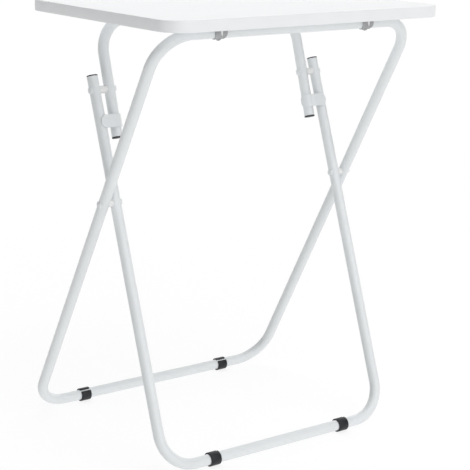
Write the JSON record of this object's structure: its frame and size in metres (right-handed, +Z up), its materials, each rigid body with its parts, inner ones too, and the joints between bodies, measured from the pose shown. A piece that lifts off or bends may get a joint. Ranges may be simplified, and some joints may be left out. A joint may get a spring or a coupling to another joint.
{
  "type": "folding tray table",
  "caption": "Folding tray table: a rounded rectangular board on crossed bent-tube legs that fold flat, with rubber feet and saddle-clip hinges.",
  "frame": {"origin": "on the floor, under the centre of the open table's box", "axes": "+X across the width along the pivot axes, +Y to the rear (the side of the larger leg spread), +Z up; the front clips are on the -Y side"},
  "size_m": [0.48, 0.4118, 0.65],
  "materials": {
    "white_laminate": "white melamine-faced fibreboard, satin",
    "white_edge_plastic": "white edge band, satin",
    "white_powder_coat": "white powder coat, semi-gloss",
    "zinc_plated_steel": "zinc-plated pressed steel",
    "black_rubber": "black moulded rubber",
    "black_plastic": "black moulded end plug",
    "white_nylon": "white moulded nylon"
  },
  "bodies": {
    "lower_leg_frame": {"cross_pivot_rivet_left": "white_powder_coat", "cross_pivot_rivet_right": "white_powder_coat", "cross_pivot_washer_left": "white_nylon", "cross_pivot_washer_right": "white_nylon", "front_foot_left": "black_rubber", "front_foot_right": "black_rubber", "lower_frame_end_plug_left": "black_plastic", "lower_frame_end_plug_right": "black_plastic", "lower_leg_frame_tube": "white_powder_coat", "upper_pivot_rivet_left": "white_powder_coat", "upper_pivot_rivet_right": "white_powder_coat", "upper_pivot_spacer_left": "white_nylon", "upper_pivot_spacer_right": "white_nylon"},
    "outer_leg_frame": {"outer_leg_frame_tube": "white_powder_coat", "rear_foot_left": "black_rubber", "rear_foot_right": "black_rubber"},
    "front_clips": {"front_clip_left": "zinc_plated_steel", "front_clip_right": "zinc_plated_steel", "front_clip_screw_left_front": "zinc_plated_steel", "front_clip_screw_left_rear": "zinc_plated_steel", "front_clip_screw_right_front": "zinc_plated_steel", "front_clip_screw_right_rear": "zinc_plated_steel"},
    "upper_leg_frame": {"stop_bracket_left": "white_powder_coat", "stop_bracket_right": "white_powder_coat", "upper_frame_end_plug_left": "black_plastic", "upper_frame_end_plug_right": "black_plastic", "upper_leg_frame_tube": "white_powder_coat"},
    "tabletop": {"rear_clip_left": "zinc_plated_steel", "rear_clip_right": "zinc_plated_steel", "rear_clip_screw_left_front": "zinc_plated_steel", "rear_clip_screw_left_rear": "zinc_plated_steel", "rear_clip_screw_right_front": "zinc_plated_steel", "rear_clip_screw_right_rear": "zinc_plated_steel", "tabletop_board": "white_laminate", "tabletop_edge_band": "white_edge_plastic"}
  },
  "joints": [
    {"name": "cross_pivot_fold", "type": "hinge", "parent": "lower_leg_frame", "child": "outer_leg_frame", "pos_m": [0, -0.01083, 0.37431], "axis": [-1, 0, 0], "range_deg": [0, 47.3]},
    {"name": "upper_pivot_fold", "type": "hinge", "parent": "lower_leg_frame", "child": "upper_leg_frame", "pos_m": [0, 0.04398, 0.52819], "axis": [-1, 0, 0], "range_deg": [0, 173.2]},
    {"name": "rear_bar_fold", "type": "hinge", "parent": "upper_leg_frame", "child": "tabletop", "pos_m": [0, 0.0744, 0.6257], "axis": [1, 0, 0], "range_deg": [0, 70.1]},
    {"name": "front_bar_fold", "type": "hinge", "parent": "outer_leg_frame", "child": "front_clips", "pos_m": [0, -0.1534, 0.6257], "axis": [-1, 0, 0], "range_deg": [0, 55.9]}
  ],
  "couplings": [
    {"joint": "upper_pivot_fold", "follows": "cross_pivot_fold", "ratio": 3.6614},
    {"joint": "rear_bar_fold", "follows": "cross_pivot_fold", "ratio": 1.4803},
    {"joint": "front_bar_fold", "follows": "cross_pivot_fold", "ratio": 1.1811}
  ]
}
